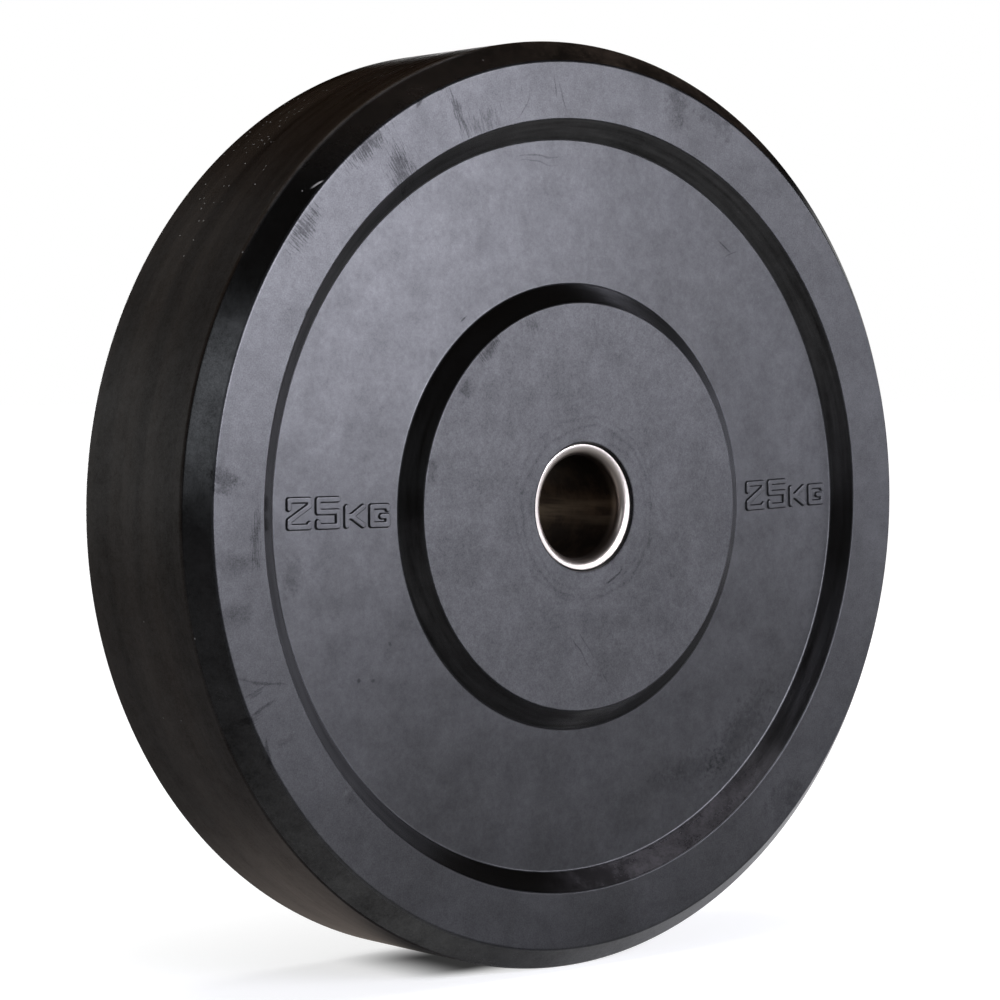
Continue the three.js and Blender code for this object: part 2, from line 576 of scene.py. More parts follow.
@dataclass(frozen=True)
class RubberFinish:
    """Satin black moulded rubber, hazy and scuffed from use.

    Zones follow the plate's own radii, so one material serves the disc and its weight marks. A noise is
    given by its features per metre, octaves, share of the finer ones and curl; a streak by its length and
    width, octaves and share of the finer ones; a layer of relief by a noise and its depth; a fade by the
    levels of the noise where it starts and ends, and its values before and after.
    """

    fresh: Colour = (0.0013, 0.0013, 0.0015)
    haze: Colour = (0.0068, 0.0070, 0.0086)
    # painted shade: a darker black for the walls and the chamfer, without the haze
    painted_shade_black: Colour = (0.0014, 0.0012, 0.0009)
    tread_grime: Colour = (0.0078, 0.0040, 0.0019)
    floor_dust: Colour = (0.034, 0.024, 0.017)
    ledge_dust: Colour = (0.046, 0.043, 0.044)
    scraped: Colour = (0.26, 0.25, 0.24)
    ior: float = 1.52
    specular: float = 0.62
    web_roughness: float = 0.375
    rim_roughness: float = 0.36
    hub_roughness: float = 0.42
    wall_roughness: float = 0.20
    chamfer_roughness: float = 0.26
    tread_roughness: float = 0.40
    tread_top_roughness: float = 0.24
    cloud_roughness: float = 0.10
    brushed_roughness: Range = (0.1, 0.9)
    clouds: Range = (15.0, 6.0, 0.60, 0.6)
    mottle: Range = (45.0, 6.0, 0.95)
    grain: Range = (1300.0, 1.0, 0.8)
    dust_patches: Range = (22.0, 2.0, 0.5)
    streak: Range = (1.6, 0.014, 3.0, 0.5)
    fine_streak: Range = (0.10, 0.0012, 3.0, 0.6)
    brush_stroke: Range = (0.35, 0.0022, 3.0, 0.6)
    grain_shine: Range = (0.30, 0.85)
    mottle_shine: float = 1.50
    dulled_shine: float = -0.55
    brightened_shine: float = 0.5
    streak_shine: float = 0.6
    brushed_shine: float = 2.6
    chamfer_shine: float = 1.1
    mouth_shine: float = -0.55
    haze_fade: Range = (0.35, 0.75, 0.0, 0.5)
    tread_dust_fade: Range = (0.42, 0.76, 0.0, 0.5)
    tread_dust_fineness: float = 0.2
    chamfer_dust_fade: Range = (0.36, 0.70, 0.10, 0.50)
    ledge_dust_fade: Range = (0.38, 0.66, 0.25, 1.0)
    ledge_dust_fineness: float = 0.6
    worn_edge_fade: Range = (-0.25, 0.15, 0.0, 0.10)
    speck_spacing: float = 0.0022
    speck_size: float = 0.0010
    speck_edge_share: float = 0.6
    speck_patch_fade: Range = (0.46, 0.62, 0.0, 0.30)
    stray_speck_share: float = 0.002
    speck_strength: Range = (0.06, 0.74, 0.25)
    relief: tuple[Range, ...] = ((1 / 0.0006, 2.0, 0.5, 0.000004), (1 / 0.012, 2.0, 0.4, 0.00004))
    streak_relief: float = 0.00003
    dulled: tuple[Scuff | RubRing, ...] = (
        RubRing(1.8, -2.7, 41.5, 1.6, 0.55),
        RubRing(0.5, -1, 44.5, 1.2, 0.35),
        RubRing(2.5, -3.5, 37, 1.4, 0.3),
        Scuff(-59.2, 76, 52, 20, 9, 1, 3, Grain.RADIAL),
        Scuff(-73.7, 56, 60, 18, 11, 0.8),
        Scuff(-93.5, 19, 80, 18, 8, 0.7),
        Scuff(-34, 88, 110, 12, 8, 0.6, 3, Grain.RADIAL),
        Scuff(18.3, -34.5, 30, 14, 2.2, 1, 1.6, Grain.ROUND),
        Scuff(-3, -69, -56, 26, 1.3, 0.8, 1),
        Scuff(1, -65, -54, 22, 1.1, 0.6, 1),
        Scuff(13, -84, -50, 16, 1.1, 0.5, 1),
        Scuff(-107.9, 157, 124, 30, 18, 0.85, 4, Grain.RADIAL),
        Scuff(-77.2, 186.7, 116, 28, 7.5, 0.95, 3, Grain.RADIAL),
        Scuff(-62.5, 182.5, 30, 22, 13, 0.55, 5, Grain.RADIAL),
        Scuff(-16.5, 201, 92, 20, 1.2, 0.7, 1),
        Scuff(-11.8, 196, 105, 26, 2, 0.6, 2, Grain.RADIAL),
        Scuff(-36, 192.5, 64, 28, 0.9, 0.6, 1),
        Scuff(-165, 129, 52, 24, 12, 0.8, 4, Grain.RADIAL),
        Scuff(-129, 169, 37, 34, 12, 0.85, 4, Grain.RADIAL),
        Scuff(-208.8, 17, 75, 16, 18, 0.8, 2.4),
        Scuff(-191.8, -7, 90, 38, 6, 0.75, 2.4, Grain.ROUND),
        Scuff(-202.5, -20.8, 2, 32, 15, 0.42, 1.4),
        Scuff(-204, -43.4, 10, 26, 15, 0.36, 1.4),
        Scuff(-190, -73.5, -9, 34, 2.4, 0.7, 1.8),
        Scuff(-193, -78, 30, 14, 6, 0.6, 3, Grain.RADIAL),
        Scuff(-187.8, -85.5, 24, 22, 2.6, 0.75, 1.8),
        Scuff(-196, -90.5, 20, 14, 5, 0.6, 3, Grain.RADIAL),
        Scuff(-184.5, -107, -72, 20, 2.2, 1),
        Scuff(-176, -101, 24, 16, 5, 0.5, 3),
        Scuff(-140, -128, -40, 16, 12, 0.45, 3),
        Scuff(62, 198, 80, 22, 26, 0.6, 3),
        Scuff(88.3, 192, 150, 36, 16, 0.5, 3),
        Scuff(-21, 168.4, 3, 36, 1.3, 0.7, 0.8),
        Scuff(-23, 165.5, 1, 34, 1.2, 0.5, 0.8),
        Scuff(-162.4, 92, 45, 6, 2.8, 1.2, 0.6),
        Scuff(112, -119, 48, 80, 26, 0.5, 3),
        Scuff(80, -133, 10, 60, 18, 0.4, 3),
        Scuff(137, -154, 45, 36, 24, 0.45, 3),
        Scuff(101, 129, -35, 16, 1.6, 0.8, 1.2),
        Scuff(106, 125, 20, 12, 1.2, 0.7, 1.2),
        Scuff(-166.3, -27.8, 80, 26, 13, 0.5, 2.4),
        Scuff(-67.5, 91.2, 30, 8, 1.4, 1, 0.6),
        Scuff(-130.3, -77.6, 0, 3.6, 3.4, 0.8, 0.6),
        Scuff(-122.9, -78.5, 0, 3.6, 3.6, 0.7, 0.6),
        Scuff(-111.8, -61.5, 0, 3, 3, 0.7, 0.6),
        Scuff(-99.2, 190.5, 60, 7, 3, 1.6, 0.8),
        Scuff(-86, 195.5, 40, 6, 2.2, 1.6, 0.8),
    )
    brightened: tuple[Scuff, ...] = (
        Scuff(-156.8, 148.7, 34, 8, 1.1, 0.8, 0.3),
        Scuff(-176.4, -100.4, 10, 18, 4.5, 0.025, 2.4),
        Scuff(-204, 30, 85, 36, 15, 0.02, 3, Grain.ROUND),
        Scuff(-140, -125, 45, 12, 6, 0.04, 5, Grain.RADIAL),
    )

    def material(self, shape: RubberShape) -> bpy.types.Material:
        """Builds the material, with its zones placed by the sizes of the disc."""
        return RubberGraph(self, shape).build()


class RubberGraph(PlateGraph):
    """The rubber's graph, round the noises that its colour, shine and relief share."""

    def __init__(self, finish: RubberFinish, shape: RubberShape) -> None:
        """Starts the material with the shared noises.

        Args:
            finish: Colours and levels.
            shape: Sizes of the disc, which place the zones.
        """
        self.finish = finish
        self.material = bpy.data.materials.new("satin_rubber")
        super().__init__(self.material, shape)
        self.clouds = self.noise(self.place, *finish.clouds)
        self.mottle = self.centred(self.noise(self.place, *finish.mottle))
        self.streaks = self.streaked(*finish.streak)
        self.fine_streaks = self.streaked(*finish.fine_streak)
        self.brushed = self.centred(self.streaked(*finish.brush_stroke))
        self.dulled = self.marks(finish.dulled)
        self.brightened = self.marks(finish.brightened)

    def streaked(self, length: float, width: float, detail: float, roughness: float) -> Socket:
        """Noise about 0.5 in streaks that run round the plate."""
        return self.noise(self.stretch(self.around, (length, width, length)), 1.0, detail, roughness)

    def marks(self, marks: Sequence[Scuff | RubRing]) -> Socket:
        """Sum of several marks, on the front face alone."""
        total = self.total(*(mark.mask(self) for mark in marks))
        return self.math("MULTIPLY", total, self.on_front, clamp=True)

    def shine(self) -> Socket:
        """How strongly each place mirrors, as a share of the rubber's usual level.

        Returns:
            The share.
        """
        finish = self.finish
        grain = self.centred(self.noise(self.place, *finish.grain))
        flat = self.math("MAXIMUM", self.on_hub, self.on_rim)
        blotches = self.total(self.centred(self.clouds), self.mottle)
        return self.total(
            1.0,
            self.product(self.mottle, finish.mottle_shine),
            self.product(grain, self.level(flat, *finish.grain_shine)),
            self.product(self.dulled, finish.dulled_shine),
            self.product(self.brightened, finish.brightened_shine),
            self.product(self.on_tread, self.centred(self.streaks), finish.streak_shine),
            self.product(self.on_wall, self.brushed, finish.brushed_shine),
            self.product(self.on_chamfer, blotches, finish.chamfer_shine),
            self.product(self.at_mouth, finish.mouth_shine),
        )

    def roughness(self) -> Socket:
        """Roughness of each zone, with gentle clouds in it, and brushed along the tread.

        Returns:
            The roughness.
        """
        finish = self.finish
        level = finish.web_roughness
        for share, roughness in (
            (self.on_rim, finish.rim_roughness),
            (self.on_hub, finish.hub_roughness),
            (self.on_wall, finish.wall_roughness),
            (self.on_chamfer, finish.chamfer_roughness),
            (self.on_tread, self.level(self.on_top, finish.tread_roughness, finish.tread_top_roughness)),
        ):
            level = self.level(share, level, roughness)
        cloudy = self.product(self.centred(self.clouds), finish.cloud_roughness)
        brushed = self.product(self.on_tread, self.brushed, self.level(self.on_top, *finish.brushed_roughness))
        return self.total(level, cloudy, brushed)

    def specks(self) -> Socket:
        """Small specks of dust, thick in patches at the top left.

        Returns:
            Their strength, and 0 between them.
        """
        finish = self.finish
        off_face = self.math("MAXIMUM", self.on_tread, self.on_chamfer)
        patches = self.fade(self.noise(self.place, *finish.dust_patches), *finish.speck_patch_fade)
        share = self.total(finish.stray_speck_share, self.product(off_face, self.top_left, patches))
        cells = self.node("TexVoronoi", {"Vector": self.place, "Scale": 1 / finish.speck_spacing}).outputs
        chosen = self.math("LESS_THAN", self.split(cells["Color"])[0], share)
        reach = finish.speck_size / finish.speck_spacing / 2
        dots = self.drop(cells["Distance"], finish.speck_edge_share * reach, reach)
        stray, tread, chamfer = finish.speck_strength
        strength = self.total(stray, self.product(self.on_tread, tread), self.product(self.on_chamfer, chamfer))
        return self.product(chosen, dots, strength)

    def colour(self) -> Socket:
        """Fresh and hazy rubber, a darker black on the walls and the chamfer as painted shade, dust in layers,
        and what was scraped light.

        Returns:
            The colour.
        """
        finish = self.finish
        fine = self.product(self.fine_streaks, finish.tread_dust_fineness)
        tread_dust = self.fade(self.total(self.streaks, fine), *finish.tread_dust_fade)
        chamfer_dust = self.fade(self.total(self.clouds, self.mottle), *finish.chamfer_dust_fade)
        blotches = self.total(self.clouds, self.product(self.mottle, finish.ledge_dust_fineness))
        worn = self.fade(self.mottle, *finish.worn_edge_fade)
        worn_edge = self.product(self.on_shoulder, self.top_left, worn)
        light = self.math("ADD", self.total(self.brightened, worn_edge), self.specks(), clamp=True)
        colour = finish.fresh
        for share, layer in (
            (self.fade(self.clouds, *finish.haze_fade), finish.haze),
            # painted shade: the walls and the chamfer keep a darker black, without the haze
            (self.math("MAXIMUM", self.on_chamfer, self.on_wall), finish.painted_shade_black),
            (self.on_tread, finish.tread_grime),
            (self.product(self.on_tread, tread_dust), finish.floor_dust),
            (self.product(self.on_chamfer, self.high_up, chamfer_dust), finish.floor_dust),
            (self.product(self.on_ledge, self.fade(blotches, *finish.ledge_dust_fade)), finish.ledge_dust),
            (light, finish.scraped),
        ):
            colour = self.blend(share, colour, layer)
        return colour

    def build(self) -> bpy.types.Material:
        """Adds the shader over the rubber's fine relief.

        Returns:
            The material.
        """
        finish = self.finish
        streaks = self.product(self.on_tread, self.centred(self.fine_streaks), finish.streak_relief)
        layers = (self.product(self.noise(self.place, *layer[:3]), layer[3]) for layer in finish.relief)
        self.surface(self.total(*layers, streaks), {
            "Base Color": self.colour(),
            "Roughness": self.roughness(),
            "IOR": finish.ior,
            "Specular IOR Level": self.product(self.shine(), finish.specular),
        })
        return self.material


@dataclass(frozen=True)
class TurnedSteelFinish:
    """Turned bright steel: the ends are polished by plates sliding past, the bore has darkened."""

    bright: Colour = (0.60, 0.55, 0.49)
    # painted shade: a darker, browner steel on the rounded lead-in
    lead_in: Colour = (0.46, 0.40, 0.35)
    patina: Colour = (0.045, 0.030, 0.022)
    rust: Colour = (0.10, 0.068, 0.046)
    rubbed: Colour = (0.20, 0.155, 0.110)
    end_roughness: float = 0.32
    bore_roughness: float = 0.42
    smear_roughness: float = 0.06
    smears: Range = (120.0, 4.0, 0.6)
    rust_patches: Range = (90.0, 5.0, 0.65)
    rust_fade: Range = (0.42, 0.66)
    rubbed_height: Range = (-0.0105, 0.0020, 0.0045)
    rubbed_streak: Triple = (0.05, 0.05, 0.004)
    rubbed_noise: Range = (1.0, 2.0, 0.5)
    rubbed_fade: Range = (0.3, 0.7)
    bore_start_shares: Range = (2.0, 0.6)
    bright_start: float = 0.0002
    grooves: Range = (1 / 0.0006, 2.0, 0.5)
    groove_depth: float = 0.0000003

    def material(self, shape: SleeveShape) -> bpy.types.Material:
        """Builds the material.

        Args:
            shape: Sizes of the sleeve, which place the zones.

        Returns:
            The material.
        """
        made = bpy.data.materials.new("turned_steel")
        graph = Graph(made)
        place = graph.point()
        x, y, z = graph.split(place)
        radius = graph.length(graph.combine(x, 0.0, z))
        bore_start = (shape.half_length - share * shape.lead_in for share in self.bore_start_shares)
        in_bore = graph.drop(graph.math("ABSOLUTE", y), *bore_start)
        # painted shade: the colour turns darker and browner over the lead-in, towards the bore
        near_bore = graph.drop(radius, shape.bore_radius + self.bright_start, shape.bore_radius + shape.lead_in)
        grooves = graph.noise(graph.combine(radius, y, 0.0), *self.grooves)
        rust = graph.fade(graph.noise(place, *self.rust_patches), *self.rust_fade)
        streaks = graph.noise(graph.stretch(place, self.rubbed_streak), *self.rubbed_noise)
        rubbed = graph.product(graph.window(z, *self.rubbed_height), graph.fade(streaks, *self.rubbed_fade))
        worn = graph.blend(rubbed, graph.blend(rust, self.patina, self.rust), self.rubbed)
        smears = graph.centred(graph.noise(place, *self.smears))
        graph.surface(graph.product(grooves, self.groove_depth), {
            "Base Color": graph.blend(in_bore, graph.blend(near_bore, self.bright, self.lead_in), worn),
            "Roughness": graph.total(
                self.end_roughness,
                graph.product(smears, self.smear_roughness),
                graph.product(in_bore, self.bore_roughness - self.end_roughness),
            ),
            "Metallic": 1.0,
        })
        return made


@dataclass(frozen=True)
class AnchorSteelFinish:
    """Plain mild steel plate as it was cut and welded, moulded into the rubber."""

    clean: Colour = (0.42, 0.42, 0.42)
    scale: Colour = (0.17, 0.16, 0.16)
    scale_patches: Range = (70.0, 5.0, 0.6)
    scale_fade: Range = (0.42, 0.62)
    scale_roughness: float = 0.12
    roughness: float = 0.5
    metallic: float = 0.9
    pits: Range = (1400.0, 3.0, 0.6)
    pit_depth: float = 0.00001

    def material(self) -> bpy.types.Material:
        """Builds the material.

        Returns:
            The material.
        """
        made = bpy.data.materials.new("anchor_steel")
        graph = Graph(made)
        place = graph.point()
        mill_scale = graph.fade(graph.noise(place, *self.scale_patches), *self.scale_fade)
        graph.surface(graph.product(graph.noise(place, *self.pits), self.pit_depth), {
            "Base Color": graph.blend(mill_scale, self.clean, self.scale),
            "Roughness": graph.total(self.roughness, graph.product(mill_scale, self.scale_roughness)),
            "Metallic": self.metallic,
        })
        return made


# Rubber disc


@dataclass(frozen=True)
class RubberShape:
    """Sizes of the moulded disc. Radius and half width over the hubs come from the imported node."""

    plate_radius: float
    hub_half: float
    bore_radius: float
    hub_rise: float = 0.002
    outer_chamfer: float = 0.0106
    rim_face_width: float = 0.027
    web_depth_at_rim: float = 0.008
    web_depth_at_hub: float = 0.006
    step_wall_width: float = 0.010
    hub_radius: float = 0.0985
    hub_mouth_bevel: float = 0.0005
    lip_round: float = 0.0007
    rim_lip_round: float = 0.0004
    foot_fillet: float = 0.0009
    face_edge_round: float = 0.0015
    shoulder_round: float = 0.003
    mouth_round: float = 0.0002
    bond_gap: float = 0.0003
    wave_height: float = 0.00005
    wave_length: float = 0.045
    wave_octaves: int = 3
    wave_ratio: float = 2.0
    wave_fading: float = 0.8

    @property
    def rim_half(self) -> float:
        """Half width over the rim."""
        return self.hub_half - self.hub_rise

    @property
    def web_half_at_hub(self) -> float:
        """Half width of the web where it meets the hub."""
        return self.rim_half - self.web_depth_at_hub

    @property
    def web_half_at_rim(self) -> float:
        """Half width of the web where it meets the rim."""
        return self.rim_half - self.web_depth_at_rim

    @property
    def shoulder_half(self) -> float:
        """Half width of the tread, between the two chamfers."""
        return self.rim_half - self.outer_chamfer

    @property
    def rim_outer_radius(self) -> float:
        """Outer radius of the flat rim face."""
        return self.plate_radius - self.outer_chamfer

    @property
    def rim_inner_radius(self) -> float:
        """Inner radius of the flat rim face."""
        return self.rim_outer_radius - self.rim_face_width

    @property
    def web_outer_radius(self) -> float:
        """Outer radius of the web."""
        return self.rim_inner_radius - self.step_wall_width

    @property
    def hub_foot_radius(self) -> float:
        """Inner radius of the web."""
        return self.hub_radius + self.step_wall_width

    def web_half(self, radius: Array) -> Array:
        """Half width of the conical web at a radius."""
        share = (radius - self.hub_foot_radius) / (self.web_outer_radius - self.hub_foot_radius)
        return self.web_half_at_hub + share * (self.web_half_at_rim - self.web_half_at_hub)

    def wave(self, points: Array) -> Array:
        """Gentle unevenness that the mould leaves, as an offset for each point.

        Args:
            points: One row of x, y and z per point.

        Returns:
            One offset in metres per point.
        """
        octaves = (self.wave_fading, self.wave_ratio, self.wave_octaves)
        offsets = [noise.fractal(Vector(point), *octaves) for point in (points / self.wave_length).tolist()]
        return self.wave_height * np.array(offsets)


class RubberDisc:
    """The moulded disc with its two faces, and the room that it leaves for the steel insert."""

    segments = 540
    longest_flat = 0.005
    edge_margin = 0.0003
    key_facets = 24
    skin_depth = 0.001

    def __init__(self, sleeve_radius: float, sleeve_half: float, flanges: Sequence[FlangeShape]) -> None:
        """Reads the disc's own extent from the frame.

        Args:
            sleeve_radius: Outer radius of the hub sleeve.
            sleeve_half: Half length of the hub sleeve.
            flanges: The anchor flanges that the rubber holds.
        """
        _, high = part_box("rubber_disc")
        self.shape = RubberShape(high.x, high.y, bore_radius=sleeve_radius + RubberShape.bond_gap)
        self.sleeve_half = sleeve_half
        self.flanges = flanges

    def face_corners(self, side: Side) -> list[Corner]:
        """One face from the bore out to the tread.

        Args:
            side: The face.

        Returns:
            Its corners, from the bore outwards.
        """
        shape, sign = self.shape, side.value
        mouth = shape.bore_radius + shape.hub_mouth_bevel
        return [
            Corner(shape.bore_radius, sign * self.sleeve_half),
            Corner(mouth, sign * shape.hub_half, shape.mouth_round, steps=3),
            Corner(shape.hub_radius, sign * shape.hub_half, shape.lip_round),
            Corner(shape.hub_foot_radius, sign * shape.web_half_at_hub, shape.foot_fillet),
            Corner(shape.web_outer_radius, sign * shape.web_half_at_rim, shape.foot_fillet),
            Corner(shape.rim_inner_radius, sign * shape.rim_half, shape.rim_lip_round),
            Corner(shape.rim_outer_radius, sign * shape.rim_half, shape.face_edge_round),
            Corner(shape.plate_radius, sign * shape.shoulder_half, shape.shoulder_round, steps=8),
        ]

    def groove_corners(self, flange: FlangeShape) -> list[Corner]:
        """The groove round a flange and its weld beads, one bond gap away from the steel.

        Args:
            flange: The flange in the groove.

        Returns:
            Its corners, from the back mouth to the front mouth.
        """
        gap = self.shape.bond_gap
        half = flange.thickness / 2 + gap
        mouth = flange.thickness / 2 + flange.weld_leg + gap * math.sqrt(2)
        toe = flange.bore_radius + flange.weld_leg + gap * (math.sqrt(2) - 1)
        return [
            Corner(self.shape.bore_radius, flange.y + mouth),
            Corner(toe, flange.y + half),
            Corner(flange.radius + gap, flange.y + half),
            Corner(flange.radius + gap, flange.y - half),
            Corner(toe, flange.y - half),
            Corner(self.shape.bore_radius, flange.y - mouth),
        ]

    def body(self) -> Mesh:
        """The revolved body, with the mould's gentle unevenness on its skin.

        Returns:
            Its vertices and faces.
        """
        corners = self.face_corners(Side.FRONT) + self.face_corners(Side.BACK)[::-1]
        for flange in sorted(self.flanges, key=lambda flange: -flange.y):
            corners += self.groove_corners(flange)
        outline = closed_outline(corners, self.longest_flat, self.edge_margin)
        vertices, faces = revolve(outline, self.segments)
        outside_mouth = self.shape.bore_radius + 2 * self.shape.hub_mouth_bevel
        skin = np.hypot(vertices[:, 0], vertices[:, 2]) > outside_mouth
        skin &= np.abs(vertices[:, 1]) > self.shape.web_half_at_rim - self.skin_depth
        vertices[skin, 1] += np.sign(vertices[skin, 1]) * self.shape.wave(vertices[skin])
        return vertices, faces

    def keys(self) -> Iterable[Mesh]:
        """The rubber keys that have grown through the flange holes.

        Returns:
            Vertices and faces of each key in turn.
        """
        turn = np.arange(self.key_facets) * (2 * math.pi / self.key_facets)
        for flange in self.flanges:
            radius = flange.hole_radius - self.shape.bond_gap
            half = flange.thickness / 2 + self.shape.bond_gap + flange.key_root
            for hole in range(flange.hole_count):
                angle = 2 * math.pi * hole / flange.hole_count
                x = flange.hole_circle_radius * math.sin(angle) + radius * np.cos(turn)
                z = flange.hole_circle_radius * math.cos(angle) + radius * np.sin(turn)
                ends = [np.stack([x, np.full_like(x, flange.y + sign * half), z], axis=-1) for sign in (-1, 1)]
                yield np.concatenate(ends), self.key_faces()

    def key_faces(self) -> list[list[int]]:
        """Faces of one key: its wall and its two ends.

        Returns:
            Lists of vertex numbers.
        """
        count = self.key_facets
        ring = [(place, (place + 1) % count) for place in range(count)]
        wall = [[first, second, count + second, count + first] for first, second in ring]
        return wall + [list(range(count))[::-1], list(range(count, 2 * count))]

    def build(self, finish: RubberFinish) -> bpy.types.Material:
        """Makes the disc and dresses it.

        Args:
            finish: The rubber.

        Returns:
            The rubber material, which the weight marks share.
        """
        vertices, quads = self.body()
        faces = quads.tolist()
        for key_vertices, key_faces in self.keys():
            start = len(vertices)
            vertices = np.concatenate([vertices, key_vertices])
            faces += [[start + corner for corner in face] for face in key_faces]
        piece = make_piece("moulded_disc", vertices, np.array(faces, dtype=object))
        material = finish.material(self.shape)
        dress(piece, material, "rubber_disc")
        return material


# Weight marks


class Glyph(Enum):
    """Letterforms as centre lines of strokes, in shares of a glyph's inner width and height."""

    TWO = (((0, 0.70), (0, 1), (1, 1), (1, 0.78), (0, 0.24), (0, 0), (1, 0), (1, 0.10)),)
    FIVE = (((1, 1), (0, 1), (0, 0.54), (1, 0.54), (1, 0), (0, 0), (0, 0.16)),)
    K = (((0, 0), (0, 1)), ((0, 0.50), (0.30, 0.50), (1, 1)), ((0.30, 0.50), (1, 0)))
    G = (((1, 0.84), (1, 1), (0, 1), (0, 0), (1, 0), (1, 0.46), (0.62, 0.46)),)


@dataclass(frozen=True)
class MarkStyle:
    """Sizes of a raised weight mark: the number is taller than its unit, on one baseline."""

    number_height: float = 0.0154
    number_width: float = 0.0143
    unit_height: float = 0.0116
    unit_width: float = 0.0124
    stroke: float = 0.0032
    spacing: float = 0.0015
    relief: float = 0.0011
    draft: float = 0.0005
    cell: float = 0.00025
    root: float = 0.0005

    def glyphs(self) -> list[tuple[Glyph, float, float]]:
        """The mark's glyphs in reading order, each with its width and height."""
        number, unit = (self.number_width, self.number_height), (self.unit_width, self.unit_height)
        return [(Glyph.TWO, *number), (Glyph.FIVE, *number), (Glyph.K, *unit), (Glyph.G, *unit)]

    @property
    def length(self) -> float:
        """Length of the whole mark."""
        glyphs = self.glyphs()
        return sum(width for _, width, _ in glyphs) + self.spacing * (len(glyphs) - 1)

    def segments(self) -> list[tuple[Vector, Vector]]:
        """Centre lines of all strokes.

        Returns:
            The two ends of each straight stretch, from the start of the baseline.
        """
        lines = []
        start = base = self.stroke / 2
        for glyph, width, height in self.glyphs():
            wide, high = width - self.stroke, height - self.stroke
            for stroke in glyph.value:
                points = [Vector((start + u * wide, base + v * high)) for u, v in stroke]
                lines += zip(points[:-1], points[1:])
            start += width + self.spacing
        return lines


@dataclass(frozen=True)
class WeightMark:
    """One raised weight mark on the web.

    Args:
        name: Name of the piece.
        side: The face that it is on.
        start: Place of the baseline's start, to the right of the axis as one reads it.
        baseline: Height of the baseline's start above the axis.
        tilt: Slope of the baseline in degrees.
        style: Its sizes.
    """

    name: str
    side: Side
    start: float
    baseline: float
    tilt: float = 0.0
    style: MarkStyle = field(default_factory=MarkStyle)

    def heights(self, u: Array, v: Array) -> Array:
        """Height of the relief above the web, negative outside the letters.

        Args:
            u: Places along the baseline.
            v: Places above the baseline.

        Returns:
            One height per place.
        """
        nearest = np.full(u.shape, np.inf)
        for start, end in self.style.segments():
            along = end - start
            share = ((u - start.x) * along.x + (v - start.y) * along.y) / along.length_squared
            share = np.clip(share, 0.0, 1.0)
            away = np.hypot(u - start.x - share * along.x, v - start.y - share * along.y)
            nearest = np.minimum(nearest, away)
        inside = (self.style.stroke / 2 - nearest) / self.style.draft
        rise = np.clip(inside, 0.0, 1.0)
        sink = np.clip(inside, -1.0, 0.0)
        return self.style.relief * rise * rise * (3 - 2 * rise) + self.style.root * sink

    def build(self, shape: RubberShape, material: bpy.types.Material) -> None:
        """Makes the mark as a closed body that is rooted in the web, and dresses it.

        Args:
            shape: Sizes of the disc that carries it.
            material: The disc's rubber.
        """
        style = self.style
        edge = style.draft + style.cell
        columns = int((style.length + 2 * edge) / style.cell) + 1
        rows = int((style.number_height + 2 * edge) / style.cell) + 1
        along, up = (np.arange(count) * style.cell - edge for count in (columns, rows))
        u, v = np.meshgrid(along, up, indexing="ij")
        height = self.heights(u, v)
        kept = height > -style.root
        cells = kept[:-1, :-1] | kept[1:, :-1] | kept[:-1, 1:] | kept[1:, 1:]
        top = self.place(shape, u, v, height)
        base = self.place(shape, u, v, np.full_like(height, -2 * style.root))
        vertices = np.concatenate([top.reshape(-1, 3), base.reshape(-1, 3)])
        faces = grid_faces(cells, rows)
        used, numbers = np.unique(faces, return_inverse=True)
        piece = make_piece(self.name, vertices[used], numbers.reshape(faces.shape))
        dress(piece, material)

    def place(self, shape: RubberShape, u: Array, v: Array, height: Array) -> Array:
        """Turns places on the mark into points in the row frame.

        Args:
            shape: Sizes of the disc.
            u: Places along the baseline.
            v: Places above the baseline.
            height: Heights above the web.

        Returns:
            Points as x, y and z in the last axis.
        """
        sign, tilt = self.side.value, math.radians(self.tilt)
        x = -sign * (self.start + u * math.cos(tilt) - v * math.sin(tilt))
        z = self.baseline + u * math.sin(tilt) + v * math.cos(tilt)
        web = shape.web_half(np.hypot(x, z))
        skin = np.stack([x, sign * web, z], axis=-1)
        waves = shape.wave(skin.reshape(-1, 3)).reshape(web.shape)
        return np.stack([x, sign * (web + waves + height), z], axis=-1)


def grid_faces(cells: Array, rows: int) -> Array:
    """Faces of a closed body over the kept cells of a grid: top, base, and walls at the edge.

    Args:
        cells: True for each cell that is kept.
        rows: Points along the second axis of the grid.

    Returns:
        Quads of point numbers. The base repeats the top's points after them.
    """
    columns = cells.shape[0] + 1
    base = columns * rows
    i, j = np.nonzero(cells)
    corners = [i * rows + j, (i + 1) * rows + j, (i + 1) * rows + j + 1, i * rows + j + 1]
    top = np.stack(corners, axis=-1)
    under = np.stack(corners[::-1], axis=-1) + base
    padded = np.pad(cells, 1)
    walls = []
    for step, first, second in (((0, -1), 0, 1), ((1, 0), 1, 2), ((0, 1), 2, 3), ((-1, 0), 3, 0)):
        open_side = ~padded[i + 1 + step[0], j + 1 + step[1]]
        a, b = corners[first][open_side], corners[second][open_side]
        walls.append(np.stack([b, a, a + base, b + base], axis=-1))
    return np.concatenate([top, under, *walls])


# Hub insert


@dataclass(frozen=True)
class SleeveShape:
    """Sizes of the hub sleeve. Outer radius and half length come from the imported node."""

    radius: float
    half_length: float
    wall: float = 0.0054
    lead_in: float = 0.0046
    edge_round: float = 0.0004

    @property
    def bore_radius(self) -> float:
        """Radius of the bore."""
        return self.radius - self.wall


